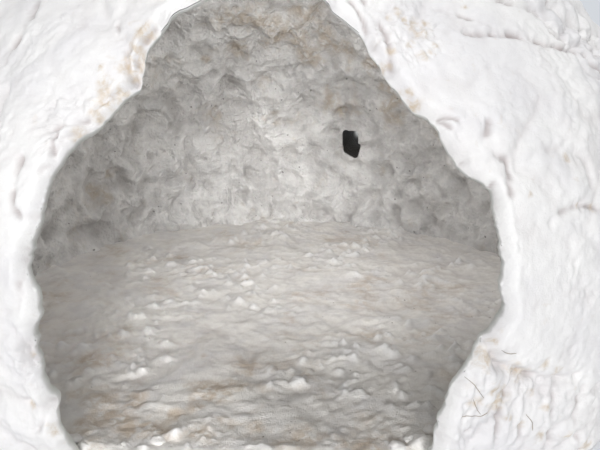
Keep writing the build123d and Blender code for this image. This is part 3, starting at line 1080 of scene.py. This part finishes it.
def floorPiece():
    mesh, borders = SnowMesh(), []
    for scale, upper in ((trampledFloor["times"], True), (1, False)):
        points, shape, fromSide, fromFront = floorGrid(scale)
        values = treadFloor(points, fromSide, fromFront) if upper else {}
        index = mesh.add(points, room=1, **values).reshape(shape)
        mesh.addFaces([gridFaces(index, not upper)], upper)
        borders.append(gridBorders(index))
        if not upper:
            continue
        for number, (*pixel, size) in enumerate(looseCrumbs):
            place = pixelsOnFloor([pixel], trampledFloor["top"])[0]
            place = points[((points - place) ** 2)[:, :2].sum(1).argmin()]
            addCrumb(mesh, place + [0, 0, 0.1 * (size / 1000)], size / 1000, 120 + number)
    for near, far in zip(*borders):
        mesh.addFaces(stitchRows(near, far), False)
    piece = mesh.build("trampled_floor")
    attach(piece, "root")
    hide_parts("snow_floor")
    return piece


floorSnow = floorPiece()


# Materials

# A node group with numbers as inputs and one number as output
def newGroup(name, output, **inputs):
    tree = bpy.data.node_groups.new(name, "ShaderNodeTree")
    for label, value in inputs.items():
        tree.interface.new_socket(label, in_out="INPUT", socket_type="NodeSocketFloat").default_value = value
    tree.interface.new_socket(output, in_out="OUTPUT", socket_type="NodeSocketFloat")
    given = tree.nodes.new("NodeGroupInput").outputs
    return tree, given, tree.nodes.new("NodeGroupOutput").inputs[output]


def addNode(tree, kind, links=None, **values):
    node = tree.nodes.new(kind)
    for key, value in values.items():
        setattr(node, key, value)
    for socket, source in (links or {}).items():
        if isinstance(source, bpy.types.NodeSocket):
            tree.links.new(source, node.inputs[socket])
        else:
            node.inputs[socket].default_value = source
    return node


def objectPlace(tree):
    return addNode(tree, "ShaderNodeTexCoord").outputs["Object"]


def ramp(tree, source, low, high, start=0.0, end=1.0):
    return addNode(tree, "ShaderNodeMapRange", {"Value": source, "From Min": low, "From Max": high,
                                                "To Min": start, "To Max": end}, clamp=True).outputs["Result"]


def math(tree, operation, a, b):
    return addNode(tree, "ShaderNodeMath", {0: a, 1: b}, operation=operation).outputs[0]


def vectorMath(tree, operation, inputs):
    return addNode(tree, "ShaderNodeVectorMath", inputs, operation=operation).outputs


def multiply(tree, a, b):
    return math(tree, "MULTIPLY", a, b)


def mixColour(tree, amount, a, b):
    return addNode(tree, "ShaderNodeMix", {"Factor": amount, 6: a, 7: b}, data_type="RGBA").outputs[2]


# Mixes a colour in where the mask is, with this strength
def tint(tree, base, mask, strength, colour):
    return mixColour(tree, multiply(tree, mask, strength), base, colour)


# Soft patches that come and go
def patchesGroup():
    tree, given, out = newGroup("snowPatches", "Mask", Scale=5, Low=0.45, High=0.6)
    noise = addNode(tree, "ShaderNodeTexNoise", {"Vector": objectPlace(tree), "Scale": given["Scale"],
                                                 "Detail": 5, "Roughness": 0.6, "Distortion": 0.4})
    steps = {"Value": noise.outputs["Fac"], "From Min": given["Low"], "From Max": given["High"]}
    mask = addNode(tree, "ShaderNodeMapRange", steps, interpolation_type="SMOOTHSTEP")
    tree.links.new(mask.outputs["Result"], out)
    return tree


# Bits of grass, leaf and soil frozen into the snow
def bitsGroup():
    tree, given, out = newGroup("grassBits", "Mask", Scale=40, Share=0.1, Size=0.2)
    wobble = addNode(tree, "ShaderNodeTexNoise", {"Vector": objectPlace(tree), "Scale": 60, "Detail": 2})
    shift = vectorMath(tree, "SCALE", {0: wobble.outputs["Color"], 3: 0.012})
    place = vectorMath(tree, "ADD", {0: objectPlace(tree), 1: shift[0]})
    cells = addNode(tree, "ShaderNodeTexVoronoi", {"Vector": place[0], "Scale": given["Scale"]}).outputs
    near = math(tree, "LESS_THAN", cells["Distance"], given["Size"])
    parts = addNode(tree, "ShaderNodeSeparateColor", {"Color": cells["Color"]})
    chosen = math(tree, "LESS_THAN", parts.outputs[0], given["Share"])
    tree.links.new(multiply(tree, near, chosen), out)
    return tree


# Grain of packed snow, as a height
def grainGroup():
    tree, given, out = newGroup("snowGrain", "Height", Scale=90, Crystals=0.4)
    coarse = addNode(tree, "ShaderNodeTexNoise", {"Vector": objectPlace(tree), "Scale": given["Scale"],
                                                  "Detail": 5, "Roughness": 0.62})
    fineScale = multiply(tree, given["Scale"], 4)
    cells = addNode(tree, "ShaderNodeTexVoronoi", {"Vector": objectPlace(tree), "Scale": fineScale})
    crystals = multiply(tree, cells.outputs["Distance"], given["Crystals"])
    tree.links.new(math(tree, "ADD", coarse.outputs["Fac"], crystals), out)
    return tree


patches, bits, grain = patchesGroup(), bitsGroup(), grainGroup()


def useGroup(tree, group, output, **values):
    node = addNode(tree, "ShaderNodeGroup", node_tree=group)
    for key, value in values.items():
        node.inputs[key].default_value = value
    return node.outputs[output]


def patchMask(tree, scale, low, high):
    return useGroup(tree, patches, "Mask", Scale=scale, Low=low, High=high)


def attributeOf(tree, name):
    return addNode(tree, "ShaderNodeAttribute", attribute_name=name).outputs["Fac"]


def bump(tree, height, strength, distance, **before):
    inputs = {"Height": height, "Strength": strength, "Distance": distance, **before}
    return addNode(tree, "ShaderNodeBump", inputs).outputs["Normal"]


def newMaterial(name):
    material = bpy.data.materials.new(name)
    material.use_nodes = True
    return material, material.node_tree, material.node_tree.nodes["Principled BSDF"]


packedColours = {
    "outside": (0.86, 0.852, 0.845, 1),
    "outsideGrey": (0.77, 0.76, 0.77, 1),
    "mottle": (0.735, 0.70, 0.70, 1),
    "lip": (0.77, 0.79, 0.755, 1),
    # The two crease colours paint shade, with some dirt, into creases, joints and hollows
    "crease": (0.44, 0.395, 0.39, 1),
    "stain": (0.52, 0.40, 0.25, 1),
    "room": (0.80, 0.788, 0.772, 1),
    "roomDark": (0.61, 0.60, 0.59, 1),
    "roomCrease": (0.42, 0.40, 0.385, 1),
    "roomBrown": (0.47, 0.385, 0.29, 1),
    # Painted shade: near black for the vent's tube, as the darkness of a deep hole
    "ventPaintedShade": (0.04, 0.035, 0.03, 1),
    "bits": (0.09, 0.08, 0.06, 1),
    "roughness": 0.62,
    "bump": 0.45,
    "roomBump": 0.7,
}


def packedSnowMaterial():
    material, tree, shader = newMaterial("packedSnow")
    room, hollow, stain = (attributeOf(tree, name) for name in ("room", "hollow", "stain"))
    colour = packedColours
    outside = mixColour(tree, patchMask(tree, 4, 0.42, 0.68), colour["outside"], colour["outsideGrey"])
    outside = tint(tree, outside, patchMask(tree, 26, 0.62, 0.74), 0.16, colour["stain"])
    outside = tint(tree, outside, patchMask(tree, 13, 0.5, 0.78), 0.45, colour["mottle"])
    outside = mixColour(tree, ramp(tree, room, 0.0, 0.08), outside, colour["lip"])
    outside = tint(tree, outside, patchMask(tree, 130, 0.5, 0.72), 0.3, colour["outsideGrey"])
    # Painted shade with some dirt: creases, joints and hollows outside take the crease colour
    outside = tint(tree, outside, hollow, 0.75, colour["crease"])
    speckled = multiply(tree, stain, patchMask(tree, 60, 0.3, 0.7))
    outside = tint(tree, outside, speckled, 0.75, colour["stain"])
    greyed = multiply(tree, patchMask(tree, 7, 0.4, 0.62), patchMask(tree, 24, 0.25, 0.6))
    inside = mixColour(tree, greyed, colour["room"], colour["roomDark"])
    # Painted shade with some dirt: recesses of the room take the darker crease colour
    inside = tint(tree, inside, hollow, 0.8, colour["roomCrease"])
    brown = multiply(tree, patchMask(tree, 6, 0.55, 0.74), 0.5)
    brown = math(tree, "MAXIMUM", brown, multiply(tree, stain, 0.75))
    brown = multiply(tree, brown, patchMask(tree, 28, 0.3, 0.6))
    inside = mixColour(tree, brown, inside, colour["roomBrown"])
    both = mixColour(tree, ramp(tree, room, 0.25, 0.8), outside, inside)
    speckShare = ramp(tree, room, 0.2, 0.8, 0.06, 1.0)
    specks = multiply(tree, useGroup(tree, bits, "Mask", Scale=30, Share=0.05, Size=0.17), speckShare)
    both = tint(tree, both, specks, 0.6, colour["bits"])
    # Painted shade: the dark attribute paints the vent's tube near black; on the grass it gives part of the
    # blades' own dark colour
    both = mixColour(tree, attributeOf(tree, "dark"), both, colour["ventPaintedShade"])
    tree.links.new(both, shader.inputs["Base Color"])
    shader.inputs["Roughness"].default_value = colour["roughness"]
    lumpy = multiply(tree, useGroup(tree, grain, "Height", Scale=19, Crystals=0.5), room)
    lumps = bump(tree, lumpy, colour["roomBump"], 0.022)
    height = useGroup(tree, grain, "Height", Scale=85, Crystals=0.35)
    tree.links.new(bump(tree, height, colour["bump"], 0.004, Normal=lumps), shader.inputs["Normal"])
    return material


trampledColours = {
    "snow": (0.85, 0.825, 0.79, 1),
    "grey": (0.76, 0.74, 0.725, 1),
    "white": (0.87, 0.865, 0.86, 1),
    "brown": (0.48, 0.36, 0.24, 1),
    # Painted shade with some dirt, for the floor's troughs
    "hollow": (0.50, 0.46, 0.42, 1),
    "bits": (0.14, 0.09, 0.05, 1),
    "roughness": 0.7,
    "bump": 0.55,
}


def trampledSnowMaterial():
    material, tree, shader = newMaterial("trampledSnow")
    colour = trampledColours
    base = mixColour(tree, patchMask(tree, 8, 0.42, 0.64), colour["snow"], colour["grey"])
    # Painted shade with some dirt: the troughs of the floor are darkened
    base = tint(tree, base, attributeOf(tree, "hollow"), 0.55, colour["hollow"])
    brown = multiply(tree, patchMask(tree, 4.5, 0.5, 0.7), 0.7)
    brown = math(tree, "MAXIMUM", brown, attributeOf(tree, "dark"))
    brown = multiply(tree, brown, patchMask(tree, 32, 0.3, 0.6))
    base = tint(tree, base, brown, 0.65, colour["brown"])
    base = tint(tree, base, attributeOf(tree, "stain"), 0.8, colour["white"])
    specks = useGroup(tree, bits, "Mask", Scale=44, Share=0.2, Size=0.14)
    specks = multiply(tree, specks, patchMask(tree, 3, 0.5, 0.62))
    base = tint(tree, base, specks, 0.65, colour["bits"])
    tree.links.new(base, shader.inputs["Base Color"])
    shader.inputs["Roughness"].default_value = colour["roughness"]
    height = useGroup(tree, grain, "Height", Scale=60, Crystals=0.5)
    tree.links.new(bump(tree, height, colour["bump"], 0.006), shader.inputs["Normal"])
    return material


packedSnow = packedSnowMaterial()
for piece in snowPieces:
    piece.data.materials.append(packedSnow)
floorSnow.data.materials.append(trampledSnowMaterial())
print("materials made")

# Studio: pale floor and background, and light all round
studio = {
    "floor": (0.72, 0.73, 0.75, 1),
    "floorReach": 30,
    "floorLift": 0.2,  # seen by the camera only
    "floorFades": (3.2, 6.5),  # into the background colour, metres from the middle
    "background": (0.66, 0.69, 0.73, 1),
    "roomLight": (0.98, 0.99, 1.0, 1),
    "roomStrength": 0.34,
}

# Soft lamps: place, aim, width and height in metres, power in watts, spread in degrees. One is far in front,
# one at the side and one above; small weak ones light the mouth, the room and the left foot
lamps = {
    "frontBox": ((0.4, -12.8, 2.7), (0, 0, 0.7), (3, 2.4), 935, 180),
    "sideBox": ((-7.5, -8.5, 3.4), (-0.3, 0, 0.6), (3, 3), 160, 180),
    "mouthBox": ((-0.06, -2.9, 1.04), (-0.04, 0.6, 0.36), (0.1, 0.1), 0.6, 40),
    "roomBox": ((0.12, -0.52, 1.12), (0.16, 0.7, 0.62), (0.2, 0.12), 8, 180),
    "footBox": ((0.5, -2.7, 0.9), (-0.44, -0.75, 0.05), (0.12, 0.12), 0.26, 20),
    "topBox": ((1.5, 0.5, 7), (0, 0, 0.5), (5, 5), 150, 180),
}


def softBox(name, place, aim, size, power, spread):
    light = bpy.data.lights.new(name, "AREA")
    light.shape, light.energy, light.spread = "RECTANGLE", power, radians(spread)
    light.size, light.size_y = size
    lamp = linked(name, light)
    lamp.location = place
    lamp.rotation_euler = (Vector(aim) - Vector(place)).to_track_quat("-Z", "Y").to_euler()


def seenDirectly(tree):
    paths = addNode(tree, "ShaderNodeLightPath")
    direct = math(tree, "MAXIMUM", paths.outputs["Is Camera Ray"], paths.outputs["Is Glossy Ray"])
    return math(tree, "MAXIMUM", direct, paths.outputs["Is Transmission Ray"])


def studioSetUp():
    mesh, reach = bpy.data.meshes.new("studioFloor"), studio["floorReach"]
    corners = [(-reach, -reach, 0), (reach, -reach, 0), (reach, reach, 0), (-reach, reach, 0)]
    mesh.from_pydata(corners, [], [(0, 1, 2, 3)])
    ground = linked("studioFloor", mesh)
    material, tree, shader = newMaterial("studioFloor")
    shader.inputs["Roughness"].default_value = 0.9
    shader.inputs["Specular IOR Level"].default_value = 0
    away = vectorMath(tree, "LENGTH", {0: objectPlace(tree)})["Value"]
    away = ramp(tree, away, *studio["floorFades"])
    shade = mixColour(tree, away, studio["floor"], (0, 0, 0, 1))
    tree.links.new(shade, shader.inputs["Base Color"])
    lifted = [part * studio["floorLift"] for part in studio["floor"][:3]] + [1]
    glow = mixColour(tree, away, lifted, studio["background"])
    lift = addNode(tree, "ShaderNodeEmission", {"Color": glow, "Strength": seenDirectly(tree)})
    both = addNode(tree, "ShaderNodeAddShader", {0: shader.outputs[0], 1: lift.outputs[0]})
    tree.links.new(both.outputs[0], tree.nodes["Material Output"].inputs["Surface"])
    mesh.materials.append(material)
    for name, lamp in lamps.items():
        softBox(name, *lamp)
    world = bpy.data.worlds.new("studioWorld")
    world.use_nodes = True
    bpy.context.scene.world = world
    tree = world.node_tree
    light = tree.nodes["Background"]
    light.inputs["Color"].default_value = studio["roomLight"]
    light.inputs["Strength"].default_value = studio["roomStrength"]
    seen = addNode(tree, "ShaderNodeBackground", {"Color": studio["background"], "Strength": 1})
    shaders = {1: light.outputs[0], 2: seen.outputs[0]}
    mix = addNode(tree, "ShaderNodeMixShader", {0: seenDirectly(tree), **shaders})
    tree.links.new(mix.outputs[0], tree.nodes["World Output"].inputs["Surface"])


def cameraSetUp():
    data = bpy.data.cameras.new("camera")
    data.sensor_width = camera["sensor"]
    data.lens = camera["focalPixels"] / camera["framePixels"][0] * camera["sensor"]
    data.clip_start = 0.05
    eye = linked("camera", data)
    eye.location = camera["place"]
    eye.rotation_euler = (radians(90 - camera["tiltDown"]), 0, 0)
    bpy.context.scene.camera = eye


studioSetUp()
cameraSetUp()
bpy.context.scene.view_settings.view_transform = "Standard"
print("studio ready")
